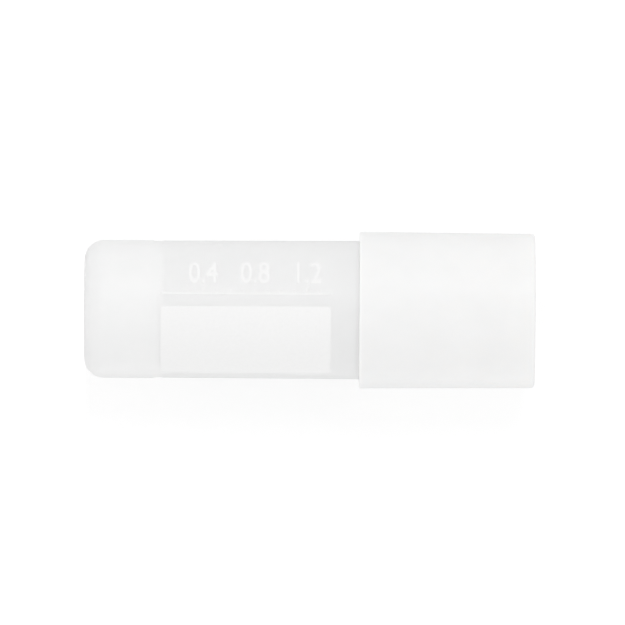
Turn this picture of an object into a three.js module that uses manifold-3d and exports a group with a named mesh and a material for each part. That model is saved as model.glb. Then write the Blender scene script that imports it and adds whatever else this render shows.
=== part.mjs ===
// A self-standing screw-cap vial of 1.2 ml for freezing samples, in millimetres.
// Z is the vial's axis, its foot stands on z = 0 and its printed side faces -Y.

import * as THREE from 'three';
import { mergeVertices } from 'three/addons/utils/BufferGeometryUtils.js';
import Module from 'manifold-3d';

const wasm = await Module();
wasm.setup();

const fullTurn = 2 * Math.PI;
const facets = 48;             // flat sides in a full turn
const arcDetail = 3;           // each round of a profile has twice as many steps
const overlap = 0.3;           // how far a joined piece reaches into its wall

// Foot of the tube
const footCorner = 1.8;        // round of the foot's outer edge
const skirtProud = 0.035;      // the foot stands out from the body by this much
const waistInset = 0.045;      // the waist lies in from the body by this much
const waistLength = 1.0;
const waistSlope = 0.08;       // length of the waist's sloping ends
const recessRadius = 3.7;      // hollow under the foot
const ribCount = 8;            // keys that hold the vial in a rack while its cap is turned
const ribRadius = 3.0;         // inner ends of the ribs
const ribWidth = 1.0;
const ribSetBack = 1.0;        // from the foot's plane up to the ribs
const ribSink = 0.2;           // from the ribs' tops up to the chamber's lowest point

// Body of the tube
const bodyRadius = 6.25;       // at the waist's top, level with the chamber's foot
const bodyDraft = 0.05;        // the body widens by this much up to its shoulder
const bodyHeight = 25.1;       // foot to shoulder
const bodyWall = 1.05;
const shoulderRound = 0.12;
const chamberBase = 7.2;       // height where the chamber's straight wall starts
const dishDepth = 1.6;         // the chamber's floor is dished by this much
const floorThickness = 1.0;
const innerShoulderDrop = 1.2;
const innerShoulderRise = 0.9;

// Neck of the tube, with a right-hand thread
const neckHeight = 9.9;        // shoulder to lip
const neckWall = 0.95;
const neckFillet = 0.35;
const lipChamfer = 0.15;
const threadPitch = 3.0;
const threadDepth = 0.65;
const threadRootWidth = 1.6;
const threadCrestWidth = 0.7;
const threadLowMargin = 1.25;  // shoulder to the thread's lowest flank
const threadTopMargin = 1.6;   // the thread's highest flank to the lip
const threadFade = 30;         // degrees over which a thread's end sinks into its wall

// Closure: gasket and cap
const gasketThickness = 0.9;
const gasketInset = 0.65;      // the gasket reaches in past the lip's bore by this much
const gasketClearance = 0.1;
const seatClearance = 0.35;    // from the neck to the cap's gasket seat
const seatDepth = 1.6;
const seatSlope = 0.3;
const boreInset = 0.1;         // the cap's bore is narrower than the shoulder by this much
const rimLap = 0.08;           // the cap's rim reaches down past the shoulder by this much
const rimClearance = 0.12;     // from the shoulder to the chamfer inside the rim
const threadClearance = 0.15;  // from a thread's crest to the other piece's wall
const flankClearance = 0.3;    // along the axis, from each flank to the next
const capWall = 0.93;          // at the rim
const capDraft = 0.105;        // the cap narrows by this much up to its top
const capRimRound = 0.15;
const capTopRound = 0.35;
const capThreadLowMargin = 0.6;
const capThreadTopMargin = 2.0;
const webThickness = 0.9;
const topRecessDepth = 4.2;
const topRecessWall = 1.05;    // at the mouth
const topRecessDraft = 0.12;
const topRecessFillet = 0.5;

// Print on the body: arcs are measured round the wall from -Y, and grow towards -X
const inkThickness = 0.05;
const inkGap = 0.02;
const printLap = 0.23;         // the print starts below the waist's top by this much
const printTopMargin = 2.65;   // from the print up to the shoulder
const patchArc = 7.52;
const patchEdgeArc = 0.31;     // where the patch's -X side lies
const patchSteps = 14;
const marksEdgeArc = 1.35;     // where the marks' base line starts
const markLine = 0.2;
const minorMarkArc = 0.45;
const majorMarkArc = 0.8;
const markVolume = 100;        // cubic millimetres from one mark to the next
const majorMarkEvery = 4;

// Values that follow from the sizes above
const chamberRadius = bodyRadius - bodyWall;
const shoulderRadius = bodyRadius + bodyDraft;
const capBore = shoulderRadius - boreInset;
const capLeadIn = boreInset + rimLap + rimClearance;
const neckRadius = capBore - threadClearance - threadDepth;
const tubeHeight = bodyHeight + neckHeight;
const neckBore = neckRadius - neckWall;
const threadStart = threadLowMargin + threadRootWidth / 2;
const threadTurns = (neckHeight - threadTopMargin - threadLowMargin - threadRootWidth) / threadPitch;
const printLow = chamberBase - printLap;
const printHigh = bodyHeight - printTopMargin;

function spin(profile) {
  const points = profile.getPoints(arcDetail);
  const distinct = points.filter((point, i) => i === 0 || point.distanceTo(points[i - 1]) > 1e-6);
  return new THREE.LatheGeometry(distinct, facets).rotateX(Math.PI / 2);
}

// A closed geometry as a solid that can be joined: shared corners are merged, slivers dropped.
function solidOf(geometry) {
  geometry.deleteAttribute('normal');
  geometry.deleteAttribute('uv');
  const merged = mergeVertices(geometry);
  const corners = merged.index.array;
  const triVerts = [];
  for (let i = 0; i < corners.length; i += 3) {
    const triangle = corners.slice(i, i + 3);
    if (new Set(triangle).size === 3) triVerts.push(...triangle);
  }
  return new wasm.Manifold(new wasm.Mesh({
    numProp: 3,
    vertProperties: new Float32Array(merged.attributes.position.array),
    triVerts: new Uint32Array(triVerts),
  }));
}

function geometryOf(solid) {
  const { vertProperties, triVerts } = solid.getMesh();
  const geometry = new THREE.BufferGeometry();
  geometry.setAttribute('position', new THREE.BufferAttribute(vertProperties, 3));
  geometry.setIndex(new THREE.BufferAttribute(triVerts, 1));
  geometry.computeVertexNormals();
  return geometry;
}

function meshOf(name, geometry, material) {
  const mesh = new THREE.Mesh(geometry, material);
  mesh.name = name;
  return mesh;
}

// A thread's ridge: its section, drawn with x up and y outwards, is pushed along the turns, bent
// round the axis and raised by its pitch. Both ends sink into the wall that carries it.
function threadRidge({ wall, crest, rootWidth, crestWidth, startHeight, startAngle, turns }) {
  const outward = Math.sign(crest - wall);
  const buried = wall - outward * overlap;
  const section = new THREE.Shape([
    new THREE.Vector2(-rootWidth / 2, buried),
    new THREE.Vector2(rootWidth / 2, buried),
    new THREE.Vector2(rootWidth / 2, wall),
    new THREE.Vector2(crestWidth / 2, crest),
    new THREE.Vector2(-crestWidth / 2, crest),
    new THREE.Vector2(-rootWidth / 2, wall),
  ]);
  const depth = turns * fullTurn;
  const steps = Math.ceil(turns * facets);
  const ridge = new THREE.ExtrudeGeometry(section, { depth, steps, bevelEnabled: false });
  const fade = THREE.MathUtils.degToRad(threadFade);
  const sunk = overlap / 2 / Math.abs(crest - buried);
  const points = ridge.attributes.position;
  for (let i = 0; i < points.count; i++) {
    const turned = points.getZ(i);
    const risen = THREE.MathUtils.smoothstep(Math.min(turned, depth - turned), 0, fade);
    const radius = buried + (points.getY(i) - buried) * THREE.MathUtils.lerp(sunk, 1, risen);
    const angle = startAngle + turned;
    const height = startHeight + points.getX(i) + threadPitch * turned / fullTurn;
    points.setXYZ(i, radius * Math.cos(angle), radius * Math.sin(angle), height);
  }
  return ridge;
}

function tubeProfile() {
  const skirtRadius = bodyRadius + skirtProud;
  const waistRadius = bodyRadius - waistInset;
  const waistLow = chamberBase - waistLength;
  const undersideRadius = chamberRadius + floorThickness;
  const undersideDepth = dishDepth + floorThickness;
  const innerShoulder = bodyHeight - innerShoulderDrop;
  const quarter = Math.PI / 2;
  const rim = -Math.acos(recessRadius / undersideRadius);
  const profile = new THREE.Path();
  profile.moveTo(0, chamberBase - undersideDepth);
  profile.absellipse(0, chamberBase, undersideRadius, undersideDepth, -quarter, rim, false);
  profile.lineTo(recessRadius, 0);
  profile.absarc(skirtRadius - footCorner, footCorner, footCorner, -quarter, 0, false);
  profile.lineTo(skirtRadius, waistLow);
  profile.lineTo(waistRadius, waistLow + waistSlope);
  profile.lineTo(waistRadius, chamberBase - waistSlope);
  profile.lineTo(bodyRadius, chamberBase);
  profile.absarc(shoulderRadius - shoulderRound, bodyHeight - shoulderRound, shoulderRound, 0, quarter, false);
  profile.absarc(neckRadius + neckFillet, bodyHeight + neckFillet, neckFillet, -quarter, -Math.PI, true);
  profile.lineTo(neckRadius, tubeHeight - lipChamfer);
  profile.lineTo(neckRadius - lipChamfer, tubeHeight);
  profile.lineTo(neckBore + lipChamfer, tubeHeight);
  profile.lineTo(neckBore, tubeHeight - lipChamfer);
  profile.lineTo(neckBore, innerShoulder);
  profile.lineTo(chamberRadius, innerShoulder - innerShoulderRise);
  profile.absellipse(0, chamberBase, chamberRadius, dishDepth, 0, -quarter, true);
  return profile;
}

function tubeThread() {
  return threadRidge({
    wall: neckRadius,
    crest: neckRadius + threadDepth,
    rootWidth: threadRootWidth,
    crestWidth: threadCrestWidth,
    startHeight: bodyHeight + threadStart,
    startAngle: 0,
    turns: threadTurns,
  });
}

// One rib runs inwards from the recess's wall, and up into the chamber's floor.
function footRib(angle) {
  const top = chamberBase - dishDepth - ribSink;
  const height = top - ribSetBack;
  const length = recessRadius + overlap - ribRadius;
  const rib = new THREE.BoxGeometry(length, ribWidth, height);
  return rib.translate(ribRadius + length / 2, 0, ribSetBack + height / 2).rotateZ(angle);
}

function makeTube() {
  let solid = solidOf(spin(tubeProfile())).add(solidOf(tubeThread()));
  for (let i = 0; i < ribCount; i++) {
    solid = solid.add(solidOf(footRib((i + 0.5) * fullTurn / ribCount)));
  }
  const polypropylene = new THREE.MeshStandardMaterial({
    color: 0xeeeff0, roughness: 0.38, metalness: 0, transparent: true, opacity: 0.7,
  });
  return meshOf('tube', geometryOf(solid), polypropylene);
}

function bodyRadiusAt(height) {
  const straightLength = bodyHeight - shoulderRound - chamberBase;
  return bodyRadius + bodyDraft * (height - chamberBase) / straightLength;
}

// Lays a flat print on the body: x is its height, y its arc and z its thickness.
function wrapOnBody(print) {
  const points = print.attributes.position;
  for (let i = 0; i < points.count; i++) {
    const height = points.getX(i);
    const radius = bodyRadiusAt(height) + inkGap + points.getZ(i);
    const angle = -Math.PI / 2 - points.getY(i) / bodyRadius;
    points.setXYZ(i, radius * Math.cos(angle), radius * Math.sin(angle), height);
  }
  return print;
}

function whiteInk() {
  return new THREE.MeshStandardMaterial({ color: 0xf7f7f6, roughness: 0.6, metalness: 0 });
}

function makeWritingPatch() {
  const length = printHigh - printLow;
  const patch = new THREE.BoxGeometry(length, patchArc, inkThickness, 1, patchSteps, 1);
  patch.translate(printLow + length / 2, patchEdgeArc - patchArc / 2, inkThickness / 2);
  return meshOf('writing_patch', wrapOnBody(patch), whiteInk());
}

// Height that a filled volume reaches. The dished floor holds half an ellipsoid.
function fillHeight(volume) {
  const area = Math.PI * chamberRadius ** 2;
  return chamberBase + volume / area - dishDepth * 2 / 3;
}

// The marks are a comb: a line along the body, with a tooth at each volume.
function marksOutline() {
  const base = marksEdgeArc + markLine;
  const outline = [[printHigh, marksEdgeArc], [printLow, marksEdgeArc], [printLow, base]];
  for (let i = 1; fillHeight(i * markVolume) < printHigh - markLine; i++) {
    const arc = marksEdgeArc + (i % majorMarkEvery === 0 ? majorMarkArc : minorMarkArc);
    const low = fillHeight(i * markVolume) - markLine / 2;
    const high = low + markLine;
    if (low > printLow) outline.push([low, base], [low, arc], [high, arc], [high, base]);
  }
  outline.push([printHigh, base]);
  return outline.map(([height, arc]) => new THREE.Vector2(height, arc));
}

function makeGraduationMarks() {
  const outline = new THREE.Shape(marksOutline());
  const comb = new THREE.ExtrudeGeometry(outline, { depth: inkThickness, bevelEnabled: false });
  return meshOf('graduation_marks', wrapOnBody(comb), whiteInk());
}

// The gasket and the cap are drawn from the lip's plane, where the closure is set down.
function makeGasket() {
  const outer = neckRadius + seatClearance - gasketClearance;
  const inner = neckBore - gasketInset;
  const profile = new THREE.Path();
  profile.moveTo(inner, 0);
  profile.lineTo(outer, 0);
  profile.lineTo(outer, gasketThickness);
  profile.lineTo(inner, gasketThickness);
  profile.lineTo(inner, 0);
  const silicone = new THREE.MeshStandardMaterial({ color: 0xe9e7e1, roughness: 0.6, metalness: 0 });
  return meshOf('gasket', spin(profile), silicone);
}

function capProfile(rim) {
  const seat = neckRadius + seatClearance;
  const seatLow = gasketThickness - seatDepth;
  const rimRadius = capBore + capWall;
  const topRadius = rimRadius - capDraft;
  const web = gasketThickness + webThickness;
  const top = web + topRecessDepth;
  const mouth = topRadius - topRecessWall;
  const recessFloor = mouth - topRecessDraft - topRecessFillet;
  const quarter = Math.PI / 2;
  const profile = new THREE.Path();
  profile.moveTo(0, gasketThickness);
  profile.lineTo(seat, gasketThickness);
  profile.lineTo(seat, seatLow);
  profile.lineTo(capBore, seatLow - seatSlope);
  profile.lineTo(capBore, rim + capLeadIn);
  profile.lineTo(capBore + capLeadIn, rim);
  profile.absarc(rimRadius - capRimRound, rim + capRimRound, capRimRound, -quarter, 0, false);
  profile.absarc(topRadius - capTopRound, top - capTopRound, capTopRound, 0, quarter, false);
  profile.lineTo(mouth, top);
  profile.absarc(recessFloor, web + topRecessFillet, topRecessFillet, 0, -quarter, true);
  profile.lineTo(0, web);
  return profile;
}

// The cap's ridge lies midway between the tube's turns, a clearance narrower than their groove.
function capThread(rim) {
  const rootWidth = threadPitch - threadCrestWidth - 2 * flankClearance;
  const crestWidth = threadPitch - threadRootWidth - 2 * flankClearance;
  const start = rim + capThreadLowMargin + rootWidth / 2;
  const end = gasketThickness - seatDepth - capThreadTopMargin - rootWidth / 2;
  const midGroove = threadStart - neckHeight + threadPitch / 2;
  return threadRidge({
    wall: capBore,
    crest: neckRadius + threadClearance,
    rootWidth,
    crestWidth,
    startHeight: start,
    startAngle: fullTurn * (start - midGroove) / threadPitch,
    turns: (end - start) / threadPitch,
  });
}

function makeCap() {
  const rim = -neckHeight - rimLap;
  const solid = solidOf(spin(capProfile(rim))).add(solidOf(capThread(rim)));
  const polyethylene = new THREE.MeshStandardMaterial({ color: 0xf3f3f2, roughness: 0.45, metalness: 0 });
  return meshOf('cap', geometryOf(solid), polyethylene);
}

const closure = new THREE.Group();
closure.position.z = tubeHeight;
closure.add(makeGasket(), makeCap());

const cryovial = new THREE.Group();
cryovial.add(makeTube(), makeWritingPatch(), makeGraduationMarks(), closure);

export default cryovial;
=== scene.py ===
# A screw-cap sample vial in translucent and milky plastic, with printed ink, for a product view.
import math

import bmesh
import bpy
from mathutils import Matrix, Vector


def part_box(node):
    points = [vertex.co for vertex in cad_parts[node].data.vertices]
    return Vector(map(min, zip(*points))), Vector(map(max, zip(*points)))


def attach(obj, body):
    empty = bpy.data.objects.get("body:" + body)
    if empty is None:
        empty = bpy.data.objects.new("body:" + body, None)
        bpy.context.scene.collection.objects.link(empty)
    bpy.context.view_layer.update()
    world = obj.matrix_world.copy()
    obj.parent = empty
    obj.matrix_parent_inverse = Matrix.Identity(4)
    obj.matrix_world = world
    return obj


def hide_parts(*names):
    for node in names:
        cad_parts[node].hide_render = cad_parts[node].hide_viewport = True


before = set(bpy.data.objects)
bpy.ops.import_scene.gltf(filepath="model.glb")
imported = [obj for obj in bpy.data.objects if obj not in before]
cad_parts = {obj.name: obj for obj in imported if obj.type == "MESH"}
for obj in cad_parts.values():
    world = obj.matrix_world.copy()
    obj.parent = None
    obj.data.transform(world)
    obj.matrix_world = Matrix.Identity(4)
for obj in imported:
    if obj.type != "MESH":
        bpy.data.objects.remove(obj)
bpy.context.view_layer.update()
mm = 0.001
turn = 2 * math.pi
weld = 0.0005 * mm  # corners closer than this are one corner


# every outline is a list of (distance from the vial's axis, height) in mm

def arcPoints(centre, radii, start, end, count):
    angles = [math.radians(start + (end - start) * i / count) for i in range(count + 1)]
    return [(centre[0] + radii[0] * math.cos(a), centre[1] + radii[1] * math.sin(a)) for a in angles]


def closeRings(outline, longest):
    # long straight runs get extra rings, so that the shading beside a small round stays even
    points = [outline[0]]
    for start, end in zip(outline, outline[1:]):
        parts = max(1, math.ceil(math.dist(start, end) / longest))
        points += [tuple(s + (e - s) * i / parts for s, e in zip(start, end)) for i in range(1, parts + 1)]
    return points


def spinOutline(outline, steps, closed=False):
    shape = bmesh.new()
    verts = [shape.verts.new((r * mm, 0, h * mm)) for r, h in outline]
    pairs = list(zip(verts, verts[1:])) + ([(verts[-1], verts[0])] if closed else [])
    edges = [shape.edges.new(pair) for pair in pairs]
    bmesh.ops.spin(shape, geom=verts + edges, cent=(0, 0, 0), axis=(0, 0, 1),
                   angle=turn, steps=steps, use_merge=True)
    bmesh.ops.remove_doubles(shape, verts=shape.verts, dist=weld)
    bmesh.ops.recalc_face_normals(shape, faces=shape.faces)
    return shape


def roundRing(shape, radius, height, size, segments, reach=0.004):
    # rounds the ring of edges that lies at this radius and height
    def onRing(vert):
        place = (math.hypot(vert.co.x, vert.co.y) / mm, vert.co.z / mm)
        return math.dist(place, (radius, height)) < reach
    ring = [edge for edge in shape.edges if all(onRing(vert) for vert in edge.verts)]
    bmesh.ops.bevel(shape, geom=ring, offset=size * mm, offset_type="OFFSET", segments=segments,
                    profile=0.5, affect="EDGES", material=-1, clamp_overlap=True)


def finishShading(mesh, sharpest=50):
    for face in mesh.polygons:
        face.use_smooth = True
    shape = bmesh.new()
    shape.from_mesh(mesh)
    for edge in shape.edges:
        edge.smooth = not edge.is_manifold or edge.calc_face_angle(0) < math.radians(sharpest)
    shape.to_mesh(mesh)
    shape.free()


def makePiece(name, shape, body, slot, *materials):
    mesh = bpy.data.meshes.new(name)
    shape.to_mesh(mesh)
    shape.free()
    finishShading(mesh)
    for material in materials:
        mesh.materials.append(material)
    piece = bpy.data.objects.new(name, mesh)
    bpy.context.scene.collection.objects.link(piece)
    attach(piece, body)
    return piece


def joinShapes(base, *additions):
    # a true union, so that no wall is left inside the plastic
    holders = []
    for shape in (base, *additions):
        mesh = bpy.data.meshes.new("joining")
        shape.to_mesh(mesh)
        shape.free()
        holder = bpy.data.objects.new("joining", mesh)
        bpy.context.scene.collection.objects.link(holder)
        holders.append(holder)
    for tool in holders[1:]:
        union = holders[0].modifiers.new("union", "BOOLEAN")
        union.operation, union.solver, union.object = "UNION", "EXACT", tool
    bpy.context.view_layer.update()
    graph = bpy.context.evaluated_depsgraph_get()
    joined = bmesh.new()
    joined.from_mesh(holders[0].evaluated_get(graph).to_mesh())
    for holder in holders:
        bpy.data.meshes.remove(holder.data)
    return joined


thread = {
    "pitch": 3.0, "depth": 0.65, "rootWidth": 1.6, "crestWidth": 0.7, "lowMargin": 1.25, "topMargin": 1.6,
    "sink": 0.25,  # how far the ridge reaches into its wall
    "fade": 30,  # degrees over which an end of the ridge sinks into the wall
    "endShare": 0.12,  # what is left of the ridge at its very end
    "steps": 96,  # in one turn
}


def threadShape(wall, crest, rootWidth, crestWidth, bottom, startAngle, turns):
    # the ridge's section is spun and raised together, then its two ends are sunk into the wall
    t = thread
    buried = wall - math.copysign(t["sink"], crest - wall)
    section = [(buried, -rootWidth / 2), (buried, rootWidth / 2), (wall, rootWidth / 2),
               (crest, crestWidth / 2), (crest, -crestWidth / 2), (wall, -rootWidth / 2)]
    shape = bmesh.new()
    face = shape.faces.new([shape.verts.new((r * mm, 0, (bottom + h) * mm)) for r, h in section])
    steps = math.ceil(turns * t["steps"])
    bmesh.ops.spin(shape, geom=[face], cent=(0, 0, 0), axis=(0, 0, 1), angle=turns * turn,
                   dvec=(0, 0, t["pitch"] * turns / steps * mm), steps=steps)
    for vert in shape.verts:
        seen = math.atan2(vert.co.y, vert.co.x)
        near = (vert.co.z / mm - bottom) / t["pitch"] * turn
        turned = seen + turn * round((near - seen) / turn)
        risen = min(1.0, max(0.0, min(turned, turns * turn - turned) / math.radians(t["fade"])))
        share = t["endShare"] + (1 - t["endShare"]) * (3 - 2 * risen) * risen ** 2
        radius = math.hypot(vert.co.x, vert.co.y)
        vert.co.xy *= (buried * mm + (radius - buried * mm) * share) / radius
    bmesh.ops.rotate(shape, verts=shape.verts, cent=(0, 0, 0), matrix=Matrix.Rotation(startAngle, 3, "Z"))
    bmesh.ops.recalc_face_normals(shape, faces=shape.faces)
    return shape


def gateMark(piece, centreHeight, sides=32, roundShare=0.4):
    # the small round nub that the moulding gate leaves
    radius, height = piece["gateRadius"], piece["gateHeight"]
    mark = bmesh.new()
    bmesh.ops.create_cone(mark, cap_ends=True, segments=sides, radius1=radius * mm, radius2=radius * mm,
                          depth=2 * height * mm)
    rims = [edge for edge in mark.edges if abs(edge.verts[0].co.z - edge.verts[1].co.z) < weld]
    bmesh.ops.bevel(mark, geom=rims, offset=height * roundShare * mm, segments=2, profile=0.5,
                    affect="EDGES", material=-1)
    bmesh.ops.translate(mark, verts=mark.verts, vec=(0, 0, centreHeight * mm))
    return mark


def startMaterial(name, sockets):
    material = bpy.data.materials.new(name)
    material.use_nodes = True
    tree = material.node_tree
    shader = tree.nodes["Principled BSDF"]
    setSockets(shader, sockets)
    return material, tree, shader


def setSockets(node, values):
    for socket, value in values.items():
        node.inputs[socket].default_value = value


def addNode(tree, kind, values=None, **settings):
    node = tree.nodes.new(kind)
    for setting, value in settings.items():
        setattr(node, setting, value)
    setSockets(node, values or {})
    return node


def addNoise(tree, size, stretch=1, detail=3.0):
    # size is the width of the pattern's features in mm
    place = addNode(tree, "ShaderNodeTexCoord")
    mapping = addNode(tree, "ShaderNodeMapping", {"Scale": (1, 1, stretch)})
    noise = addNode(tree, "ShaderNodeTexNoise",
                    {"Scale": 1 / (size * mm), "Detail": detail, "Roughness": 0.5})
    tree.links.new(place.outputs["Object"], mapping.inputs["Vector"])
    tree.links.new(mapping.outputs["Vector"], noise.inputs["Vector"])
    return noise.outputs["Fac"]


def addRange(tree, source, low, high):
    # most of a noise lies between 0.3 and 0.7
    spread = addNode(tree, "ShaderNodeMapRange",
                     {"From Min": 0.3, "From Max": 0.7, "To Min": low, "To Max": high})
    tree.links.new(source, spread.inputs["Value"])
    return spread.outputs["Result"]


def tintByNoise(tree, shader, look):
    clouds = addNoise(tree, look["cloud"], detail=look.get("cloudDetail", 3.0))
    blend = addNode(tree, "ShaderNodeMix", data_type="RGBA")
    blend.inputs["A"].default_value = (*look["dark"], 1)
    blend.inputs["B"].default_value = (*look["light"], 1)
    tree.links.new(addRange(tree, clouds, 0, 1), blend.inputs["Factor"])
    tree.links.new(blend.outputs["Result"], shader.inputs["Base Color"])


def paintedEdgeLight(tree, shader, look, edge):
    # painted light: the tint grows paler towards an edge, as if light leaked through it, and so lifts the
    # shade beside the cap's rim; edge is its height in mm
    place = addNode(tree, "ShaderNodeTexCoord")
    split = addNode(tree, "ShaderNodeSeparateXYZ")
    near = addNode(tree, "ShaderNodeMapRange",
                   {"From Min": (edge + look["edgeReach"]) * mm, "From Max": edge * mm})
    blend = addNode(tree, "ShaderNodeMix", data_type="RGBA")
    blend.inputs["B"].default_value = (*look["edge"], 1)
    tree.links.new(place.outputs["Object"], split.inputs["Vector"])
    tree.links.new(split.outputs["Z"], near.inputs["Value"])
    tree.links.new(near.outputs["Result"], blend.inputs["Factor"])
    tree.links.new(shader.inputs["Base Color"].links[0].from_socket, blend.inputs["A"])
    tree.links.new(blend.outputs["Result"], shader.inputs["Base Color"])


def frostByNoise(tree, shader, look):
    frost = addRange(tree, addNoise(tree, look["frostSize"]), *look["frost"])
    tree.links.new(frost, shader.inputs["Roughness"])


def bumpByNoise(tree, shader, look):
    # each bump feeds the next
    normal = None
    for size, height, stretch in look["bumps"]:
        bump = addNode(tree, "ShaderNodeBump", {"Strength": 1.0, "Distance": height * mm})
        tree.links.new(addNoise(tree, size, stretch), bump.inputs["Height"])
        if normal:
            tree.links.new(normal, bump.inputs["Normal"])
        normal = bump.outputs["Normal"]
    tree.links.new(normal, shader.inputs["Normal"])


def makeMaterial(name, look, edge=None):
    # a look holds the tint's two ends and the size of its clouds, the frost as a range of roughness,
    # and bumps as (size, height, stretch along the axis), and may hold an edge colour of painted light with
    # its reach; sizes, heights and reaches are in mm
    material, tree, shader = startMaterial(name, look["sockets"])
    tintByNoise(tree, shader, look)
    # painted light: paler towards the edge that makeMaterial is given
    if "edge" in look:
        paintedEdgeLight(tree, shader, look, edge)
    if "frost" in look:
        frostByNoise(tree, shader, look)
    bumpByNoise(tree, shader, look)
    return material


tube = {
    "skirtRadius": 6.285, "waistRadius": 6.205, "bodyRadius": 6.25, "shoulderRadius": 6.3,
    "footCorner": 1.8, "waistLow": 6.2, "waistHigh": 7.2, "waistSlope": 0.25,
    "recessRadius": 3.7, "shoulder": 25.1, "chamberRadius": 5.2, "chamberBase": 7.2,
    "dishDepth": 1.6, "floor": 1.0, "neckRadius": 5.4, "neckBore": 4.45,
    "innerShoulder": 23.9, "innerShoulderRise": 0.9,
    "recessRound": 0.15, "shoulderRound": 0.12, "neckFillet": 0.35, "lipRound": 0.2, "boreRound": 0.15,
    "innerShoulderRound": 0.2, "chamberRound": 0.3, "roundSteps": 4,
    "ribs": 8, "ribRadius": 3.0, "ribWidth": 1.0, "ribLow": 1.0, "ribTop": 5.4,
    "ribSink": 0.3, "ribRound": 0.12, "gateRadius": 0.7, "gateHeight": 0.12,
    "steps": 192, "footSteps": 14, "dishSteps": 20, "ringGap": 0.6,
    "wallLook": {
        "sockets": {"IOR": 1.49, "Transmission Weight": 0.2},
        "dark": (0.965, 0.968, 0.968), "light": (0.985, 0.986, 0.985), "cloud": 3.0,
        # the edge colour and its reach are painted light: the wall pales towards its shoulder, where the
        # cap's rim shades it
        "frost": (0.34, 0.44), "frostSize": 1.2, "edge": (0.998, 0.998, 0.998), "edgeReach": -0.5,
        "bumps": [(0.8, 0.002, 0.08), (0.09, 0.0012, 1)],
    },
    "footLook": {
        "sockets": {"IOR": 1.49, "Transmission Weight": 0.12},
        "dark": (0.955, 0.957, 0.957), "light": (0.975, 0.975, 0.973), "cloud": 2.0,
        "frost": (0.3, 0.4), "frostSize": 0.9,
        "bumps": [(0.6, 0.002, 1), (0.07, 0.0016, 1)],
    },
}
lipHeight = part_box("tube")[1].z / mm
threadStart = tube["shoulder"] + thread["lowMargin"] + thread["rootWidth"] / 2
threadTurns = (lipHeight - thread["topMargin"] - thread["rootWidth"] / 2 - threadStart) / thread["pitch"]


def tubeOutline():
    t = tube
    under = (t["chamberRadius"] + t["floor"], t["dishDepth"] + t["floor"])
    underEdge = -math.degrees(math.acos(t["recessRadius"] / under[0]))
    corner = t["skirtRadius"] - t["footCorner"]
    base = (0, t["chamberBase"])
    outline = arcPoints(base, under, -90, underEdge, t["footSteps"])
    outline += [(t["recessRadius"], 0)]
    outline += arcPoints((corner, t["footCorner"]), (t["footCorner"],) * 2, -90, 0, t["footSteps"])
    outline += [(t["skirtRadius"], t["waistLow"]),
                (t["waistRadius"], t["waistLow"] + t["waistSlope"]),
                (t["waistRadius"], t["waistHigh"] - t["waistSlope"]),
                (t["bodyRadius"], t["waistHigh"]),
                (t["shoulderRadius"], t["shoulder"]),
                (t["neckRadius"], t["shoulder"]),
                (t["neckRadius"], lipHeight),
                (t["neckBore"], lipHeight),
                (t["neckBore"], t["innerShoulder"]),
                (t["chamberRadius"], t["innerShoulder"] - t["innerShoulderRise"])]
    outline += arcPoints(base, (t["chamberRadius"], t["dishDepth"]), 0, -90, t["dishSteps"])
    return closeRings(outline, t["ringGap"])


def footRibs():
    t = tube
    length = t["recessRadius"] + t["ribSink"] - t["ribRadius"]
    rise = t["ribTop"] - t["ribLow"]
    ribs = bmesh.new()
    for i in range(t["ribs"]):
        made = bmesh.ops.create_cube(ribs, size=1)["verts"]
        bmesh.ops.scale(ribs, verts=made, vec=Vector((length, t["ribWidth"], rise)) * mm)
        middle = (t["ribRadius"] + length / 2, 0, (t["ribTop"] + t["ribLow"]) / 2)
        bmesh.ops.translate(ribs, verts=made, vec=Vector(middle) * mm)
        spun = Matrix.Rotation((i + 0.5) * turn / t["ribs"], 3, "Z")
        bmesh.ops.rotate(ribs, verts=made, cent=(0, 0, 0), matrix=spun)
    bmesh.ops.bevel(ribs, geom=list(ribs.edges), offset=t["ribRound"] * mm, segments=2, profile=0.5,
                    affect="EDGES", material=-1)
    return ribs


def makeTube():
    t = tube
    shape = spinOutline(tubeOutline(), t["steps"])
    for radius, height, size in [
            (t["recessRadius"], 0, t["recessRound"]),
            (t["shoulderRadius"], t["shoulder"], t["shoulderRound"]),
            (t["neckRadius"], t["shoulder"], t["neckFillet"]),
            (t["neckRadius"], lipHeight, t["lipRound"]),
            (t["neckBore"], lipHeight, t["boreRound"]),
            (t["neckBore"], t["innerShoulder"], t["innerShoulderRound"]),
            (t["chamberRadius"], t["innerShoulder"] - t["innerShoulderRise"], t["chamberRound"])]:
        roundRing(shape, radius, height, size, t["roundSteps"])
    ridge = threadShape(t["neckRadius"], t["neckRadius"] + thread["depth"], thread["rootWidth"],
                        thread["crestWidth"], threadStart, 0, threadTurns)
    underside = t["chamberBase"] - t["dishDepth"] - t["floor"]
    joined = joinShapes(shape, ridge, footRibs(), gateMark(t, underside))
    for face in joined.faces:
        face.material_index = 1 if face.calc_center_median().z < t["waistHigh"] * mm else 0
    # the wall's material paints light towards the shoulder, under the cap's rim
    piece = makePiece("vialTube", joined, "tube_body", "translucent_polypropylene",
                      makeMaterial("translucentWall", t["wallLook"], t["shoulder"]),
                      makeMaterial("frostedFoot", t["footLook"]))
    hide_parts("tube")


makeTube()
print("tube made")


# the print is laid out flat, with x as height and y as the arc from -Y towards -X, in mm

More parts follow.
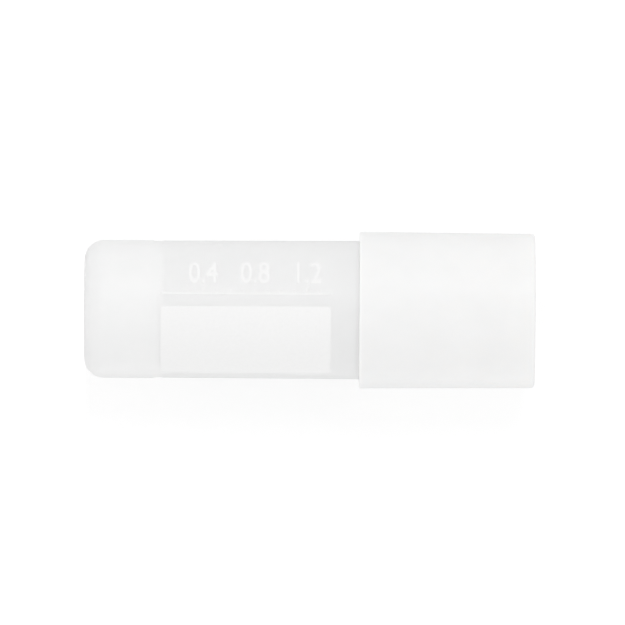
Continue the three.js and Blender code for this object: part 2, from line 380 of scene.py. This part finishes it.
ink = {
    "thickness": 0.015, "stand": 0.012, "cutStep": 0.18,
    "look": {
        "sockets": {"IOR": 1.45, "Roughness": 0.65},
        "dark": (0.9, 0.9, 0.898), "light": (0.92, 0.92, 0.918), "cloud": 0.25, "cloudDetail": 4,
        "bumps": [(0.05, 0.0008, 1)],
    },
}
patch = {"arc": 7.52, "edgeArc": 0.31, "corner": 0.25, "cornerSteps": 4}
marks = {
    "edgeArc": 1.35, "line": 0.2, "minorArc": 0.45, "majorArc": 0.8, "printArc": 3.6,
    "volumeStep": 100, "majorEvery": 4,  # cubic mm from mark to mark, and marks from number to number
    "numberGap": 0.3, "numberSize": 3.2, "numberWidth": 0.7, "numberWeight": 0.045,
    "curveSteps": 6, "cornerWeld": 0.01,
}
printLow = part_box("writing_patch")[0].z / mm
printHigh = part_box("writing_patch")[1].z / mm
whiteInk = makeMaterial("whiteInk", ink["look"])


def wrapOnBody(shape):
    t = tube
    for vert in shape.verts:
        height, arc = vert.co.x / mm, vert.co.y / mm
        rise = (height - t["waistHigh"]) / (t["shoulder"] - t["waistHigh"])
        wall = t["bodyRadius"] + (t["shoulderRadius"] - t["bodyRadius"]) * rise
        radius = wall + ink["stand"] + vert.co.z / mm
        angle = -math.pi / 2 - arc / t["bodyRadius"]
        vert.co = Vector((radius * math.cos(angle), radius * math.sin(angle), height)) * mm
    bmesh.ops.recalc_face_normals(shape, faces=shape.faces)


def flatRectangle(shape, low, high, start, end):
    made = bmesh.ops.create_grid(shape, x_segments=1, y_segments=1, size=0.5)["verts"]
    bmesh.ops.scale(shape, verts=made, vec=Vector((high - low, end - start, 1)) * mm)
    bmesh.ops.translate(shape, verts=made, vec=Vector(((high + low) / 2, (end + start) / 2, 0)) * mm)


def layOnBody(shape, start, end, nearby=1e-8):
    # cuts along the body let the print follow its curve
    cuts = math.ceil((end - start) / ink["cutStep"])
    for i in range(1, cuts):
        arc = start + (end - start) * i / cuts
        bmesh.ops.bisect_plane(shape, geom=shape.verts[:] + shape.edges[:] + shape.faces[:],
                               dist=nearby, plane_co=(0, arc * mm, 0), plane_no=(0, 1, 0))
    made = bmesh.ops.extrude_face_region(shape, geom=shape.faces[:])
    lifted = [item for item in made["geom"] if isinstance(item, bmesh.types.BMVert)]
    bmesh.ops.translate(shape, verts=lifted, vec=(0, 0, ink["thickness"] * mm))
    wrapOnBody(shape)


def makePatch():
    shape = bmesh.new()
    start = patch["edgeArc"] - patch["arc"]
    flatRectangle(shape, printLow, printHigh, start, patch["edgeArc"])
    bmesh.ops.bevel(shape, geom=shape.verts[:], offset=patch["corner"] * mm, segments=patch["cornerSteps"],
                    profile=0.5, affect="VERTICES", material=-1)
    layOnBody(shape, start, patch["edgeArc"])
    piece = makePiece("writingPatch", shape, "tube_body", "white_ink", whiteInk)
    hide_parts("writing_patch")


def fillHeight(volume):
    # height reached by a volume in cubic mm; the dish holds two thirds of a straight bore as deep
    return tube["chamberBase"] + volume / (math.pi * tube["chamberRadius"] ** 2) - tube["dishDepth"] * 2 / 3


def thickenStrokes(shape, weight, sharpest=0.25):
    # every corner of the flat outline moves outwards, away from the stroke
    ways = {}
    for edge in [edge for edge in shape.edges if edge.is_boundary]:
        start, end = edge.verts
        out = (end.co - start.co).cross(Vector((0, 0, 1))).normalized()
        if out.dot(edge.link_faces[0].calc_center_median() - start.co) > 0:
            out.negate()
        for vert in edge.verts:
            ways.setdefault(vert, []).append(out)
    for vert, outs in ways.items():
        way = sum(outs, Vector()).normalized()
        vert.co += way * weight * mm / max(sharpest, way.dot(outs[0]))


def numberShape(text, height):
    m = marks
    curve = bpy.data.curves.new("number", "FONT")
    curve.body, curve.size, curve.align_x = text, m["numberSize"] * mm, "CENTER"
    curve.resolution_u = m["curveSteps"]
    holder = bpy.data.objects.new("number", curve)
    bpy.context.scene.collection.objects.link(holder)
    bpy.context.view_layer.update()
    shape = bmesh.new()
    shape.from_mesh(holder.evaluated_get(bpy.context.evaluated_depsgraph_get()).to_mesh())
    bpy.data.objects.remove(holder)
    bmesh.ops.remove_doubles(shape, verts=shape.verts, dist=m["cornerWeld"] * mm)
    bmesh.ops.scale(shape, verts=shape.verts, vec=(m["numberWidth"], 1, 1))
    thickenStrokes(shape, m["numberWeight"])
    base = m["edgeArc"] + m["majorArc"] + m["numberGap"]
    bmesh.ops.translate(shape, verts=shape.verts, vec=Vector((height, base, 0)) * mm)
    return shape


def makeMarks():
    m = marks
    shape = bmesh.new()
    half, inside = m["line"] / 2, m["edgeArc"] + m["line"]
    flatRectangle(shape, printLow, printHigh, m["edgeArc"], inside)
    volume = m["volumeStep"]
    while fillHeight(volume) < printHigh - m["line"]:
        middle = fillHeight(volume)
        major = volume % (m["volumeStep"] * m["majorEvery"]) == 0
        reach = m["edgeArc"] + (m["majorArc"] if major else m["minorArc"])
        flatRectangle(shape, middle - half, middle + half, inside, reach)
        if major:
            number = numberShape(f"{volume / 1000:.1f}", middle)
            mesh = bpy.data.meshes.new("number")
            number.to_mesh(mesh)
            number.free()
            shape.from_mesh(mesh)
        volume += m["volumeStep"]
    layOnBody(shape, m["edgeArc"], m["edgeArc"] + m["printArc"])
    piece = makePiece("volumeMarks", shape, "tube_body", "white_ink", whiteInk)
    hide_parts("graduation_marks")


makePatch()
makeMarks()
print("print made")


gasket = {
    "innerRadius": 3.8, "round": 0.12, "roundSteps": 3, "steps": 128, "ringGap": 0.35,
    "look": {
        "sockets": {"IOR": 1.41, "Subsurface Weight": 0.5, "Subsurface Scale": 0.8 * mm,
                    "Subsurface Radius": (1.0, 0.9, 0.8)},
        "dark": (0.80, 0.79, 0.76), "light": (0.86, 0.85, 0.82), "cloud": 1.5,
        "frost": (0.5, 0.65), "frostSize": 0.5,
        "bumps": [(0.1, 0.002, 1)],
    },
}


def makeGasket():
    g = gasket
    low, high = (corner.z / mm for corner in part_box("gasket"))
    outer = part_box("gasket")[1].x / mm
    corners = [(g["innerRadius"], low), (outer, low), (outer, high), (g["innerRadius"], high)]
    outline = closeRings(corners + corners[:1], g["ringGap"])
    shape = spinOutline(outline[:-1], g["steps"], closed=True)
    for radius, height in corners:
        roundRing(shape, radius, height, g["round"], g["roundSteps"])
    piece = makePiece("sealWasher", shape, "seal_body", "silicone_rubber",
                      makeMaterial("siliconeRubber", g["look"]))
    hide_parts("gasket")


makeGasket()
print("gasket made")


cap = {
    "boreRadius": 6.2, "seatRadius": 5.75, "seatDepth": 1.6, "seatSlope": 0.3, "leadIn": 0.3,
    "narrowing": 0.105, "web": 0.9, "mouthRadius": 5.975, "recessDraft": 0.12, "recessFillet": 0.5,
    "rimRound": 0.15, "topRound": 0.35, "mouthRound": 0.2, "gateRadius": 0.8, "gateHeight": 0.12,
    "threadClearance": 0.15, "flankClearance": 0.3, "threadLow": 0.6, "threadTop": 3.6,
    "steps": 192, "rimSteps": 5, "topSteps": 6, "mouthSteps": 4, "filletSteps": 6, "ringGap": 0.6,
    "look": {
        "sockets": {"IOR": 1.5, "Subsurface Weight": 0.3, "Subsurface Scale": 0.6 * mm,
                    "Subsurface Radius": (1.0, 0.95, 0.9)},
        "dark": (0.882, 0.883, 0.88), "light": (0.907, 0.907, 0.904), "cloud": 3.5,
        # the edge colour and its reach are painted light: the cap pales towards its rim, where shade falls
        # between cap and tube
        "frost": (0.38, 0.48), "frostSize": 1.1, "edge": (0.97, 0.97, 0.968), "edgeReach": 0.28,
        "bumps": [(1.0, 0.002, 0.1), (0.08, 0.0014, 1)],
    },
}


def capOutline(rimRadius, topRadius, rim, top, seat):
    c = cap
    web = seat + c["web"]
    fillet = c["recessFillet"]
    recessFloor = c["mouthRadius"] - c["recessDraft"] - fillet
    outline = [(0, seat), (c["seatRadius"], seat), (c["seatRadius"], seat - c["seatDepth"]),
               (c["boreRadius"], seat - c["seatDepth"] - c["seatSlope"]),
               (c["boreRadius"], rim + c["leadIn"]), (c["boreRadius"] + c["leadIn"], rim),
               (rimRadius, rim), (topRadius, top), (c["mouthRadius"], top)]
    outline += arcPoints((recessFloor, web + fillet), (fillet, fillet), 0, -90, c["filletSteps"])
    return closeRings(outline + [(0, web)], c["ringGap"])


def capThreadShape(rim, seat):
    # the cap's ridge fills the groove that the tube's ridge leaves, less the clearances
    c, t = cap, thread
    rootWidth = t["pitch"] - t["crestWidth"] - 2 * c["flankClearance"]
    crestWidth = t["pitch"] - t["rootWidth"] - 2 * c["flankClearance"]
    bottom = rim + c["threadLow"] + rootWidth / 2
    turns = (seat - c["threadTop"] - rootWidth / 2 - bottom) / t["pitch"]
    startAngle = turn * (bottom - threadStart - t["pitch"] / 2) / t["pitch"]
    crest = tube["neckRadius"] + c["threadClearance"]
    return threadShape(c["boreRadius"], crest, rootWidth, crestWidth, bottom, startAngle, turns)


def makeCap():
    c = cap
    rim, top = (corner.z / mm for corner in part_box("cap"))
    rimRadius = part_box("cap")[1].x / mm
    topRadius = rimRadius - c["narrowing"]
    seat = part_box("gasket")[1].z / mm
    shape = spinOutline(capOutline(rimRadius, topRadius, rim, top, seat), c["steps"])
    roundRing(shape, rimRadius, rim, c["rimRound"], c["rimSteps"])
    roundRing(shape, topRadius, top, c["topRound"], c["topSteps"])
    roundRing(shape, c["mouthRadius"], top, c["mouthRound"], c["mouthSteps"])
    joined = joinShapes(shape, capThreadShape(rim, seat), gateMark(c, seat + c["web"]))
    # the cap's material paints light towards its rim
    piece = makePiece("screwCap", joined, "cap_body", "milky_polyethylene",
                      makeMaterial("milkyCap", c["look"], rim))
    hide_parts("cap")


makeCap()
print("cap made")


# sizes, places and the camera's distance are in m; gaps and aims are in mm

stage = {
    "floorColour": 0.9, "floorSize": 0.8, "floorGap": 0.01, "floorFill": 0.35,
    # the backdrop's grey is painted shade, seen only in the vial's reflections
    "backdropShadeGrey": 0.75, "backdropSize": 0.08, "backdropGap": 7.3, "backdropFill": 0.3,
    "roughness": 0.9, "worldLevel": 0.93,
}
lamps = {
    "keyLamp": {"place": (-0.16, -0.25, 0.05), "size": 0.15, "level": 0.11},
    "sideLamp": {"place": (0.217, 0.125, 0.05), "size": 0.15, "level": 0.06},
}
view = {"distance": 1.423, "farthest": 10, "lens": 900, "tilt": 0.3, "aimHeight": 20.77, "aimSide": 0.24}


def stageMaterial(name, colour, fill):
    sockets = {"Base Color": (colour, colour, colour, 1), "Roughness": stage["roughness"],
               "Specular IOR Level": 0.0, "Emission Color": (1, 1, 1, 1)}
    material, tree, shader = startMaterial(name, sockets)
    # only the camera sees the fill, so the stage turns white and no light is added
    path = addNode(tree, "ShaderNodeLightPath")
    level = addNode(tree, "ShaderNodeMath", operation="MULTIPLY")
    level.inputs[1].default_value = fill
    tree.links.new(path.outputs["Is Camera Ray"], level.inputs[0])
    tree.links.new(level.outputs["Value"], shader.inputs["Emission Strength"])
    # the back of a sheet can be seen through
    clear = addNode(tree, "ShaderNodeBsdfTransparent")
    side = addNode(tree, "ShaderNodeNewGeometry")
    blend = addNode(tree, "ShaderNodeMixShader")
    tree.links.new(side.outputs["Backfacing"], blend.inputs["Fac"])
    tree.links.new(shader.outputs["BSDF"], blend.inputs[1])
    tree.links.new(clear.outputs["BSDF"], blend.inputs[2])
    tree.links.new(blend.outputs["Shader"], tree.nodes["Material Output"].inputs["Surface"])
    return material


def makeSheet(name, size, material, placed):
    # the vial darkens a sheet, but a sheet doesn't darken the plastic close to it
    shape = bmesh.new()
    bmesh.ops.create_grid(shape, x_segments=1, y_segments=1, size=size / 2, matrix=placed)
    mesh = bpy.data.meshes.new(name)
    shape.to_mesh(mesh)
    shape.free()
    mesh.materials.append(material)
    sheet = bpy.data.objects.new(name, mesh)
    bpy.context.scene.collection.objects.link(sheet)
    sheet.visible_diffuse = sheet.visible_transmission = sheet.visible_shadow = False


def makeFloor():
    material = stageMaterial("floorWhite", stage["floorColour"], stage["floorFill"])
    placed = Matrix.Translation((0, 0, -stage["floorGap"] * mm))
    makeSheet("floor", stage["floorSize"], material, placed)


def makeBackdrop():
    # a card close behind the vial takes its soft shadow; the camera sees it white through its fill, but it
    # is grey to what mirrors it, which paints shade into the vial's reflections along its silhouettes
    material = stageMaterial("backdropWhite", stage["backdropShadeGrey"], stage["backdropFill"])
    middle = Matrix.Translation((0, stage["backdropGap"] * mm, stage["backdropSize"] / 2))
    makeSheet("backdrop", stage["backdropSize"], material, middle @ Matrix.Rotation(turn / 4, 4, "X"))


def makeWorld():
    # the camera, and what mirrors or passes its view, sees plain white
    world = bpy.data.worlds.new("studio")
    bpy.context.scene.world = world
    world.use_nodes = True
    tree = world.node_tree
    background = tree.nodes["Background"]
    path = addNode(tree, "ShaderNodeLightPath")
    seen = path.outputs["Is Camera Ray"]
    for output in ("Is Glossy Ray", "Is Transmission Ray"):
        either = addNode(tree, "ShaderNodeMath", operation="MAXIMUM")
        tree.links.new(seen, either.inputs[0])
        tree.links.new(path.outputs[output], either.inputs[1])
        seen = either.outputs["Value"]
    level = addNode(tree, "ShaderNodeMapRange", {"To Min": stage["worldLevel"], "To Max": 1.0})
    tree.links.new(seen, level.inputs["Value"])
    tree.links.new(level.outputs["Result"], background.inputs["Strength"])
    background.inputs["Color"].default_value = (1, 1, 1, 1)


def softbox(name, place, size, level):
    # level is how bright the lamp alone makes a white surface that faces it
    light = bpy.data.lights.new(name, "AREA")
    light.shape, light.size = "SQUARE", size
    reach = Vector(place) - Vector((0, 0, view["aimHeight"] * mm))
    light.energy = level * math.pi ** 2 * reach.length ** 2
    lamp = bpy.data.objects.new(name, light)
    lamp.location = place
    lamp.rotation_euler = reach.to_track_quat("Z", "Y").to_euler()
    lamp.visible_camera = False
    bpy.context.scene.collection.objects.link(lamp)


def makeCamera():
    # the camera lies on its side, so that the standing vial is seen lying, foot to the left
    camera = bpy.data.cameras.new("camera")
    camera.lens, camera.clip_end = view["lens"], view["farthest"]
    holder = bpy.data.objects.new("camera", camera)
    bpy.context.scene.collection.objects.link(holder)
    tilt = math.radians(view["tilt"])
    right = Vector((-math.sin(tilt), 0, math.cos(tilt)))
    up = Vector((-math.cos(tilt), 0, -math.sin(tilt)))
    place = Vector((view["aimSide"] * mm, -view["distance"], view["aimHeight"] * mm))
    columns = Matrix((right, up, Vector((0, -1, 0)))).transposed()
    holder.matrix_world = Matrix.Translation(place) @ columns.to_4x4()
    bpy.context.scene.camera = holder


makeFloor()
makeBackdrop()
makeWorld()
for lampName, lamp in lamps.items():
    softbox(lampName, **lamp)
makeCamera()
scene = bpy.context.scene
scene.view_settings.view_transform = "Standard"
scene.cycles.use_denoising = True
# light has to find its way through two frosted walls, so it gets more bounces and no blur
scene.cycles.max_bounces, scene.cycles.transmission_bounces = 24, 24
scene.cycles.diffuse_bounces, scene.cycles.glossy_bounces = 12, 8
scene.cycles.blur_glossy = 0
print("stage made")
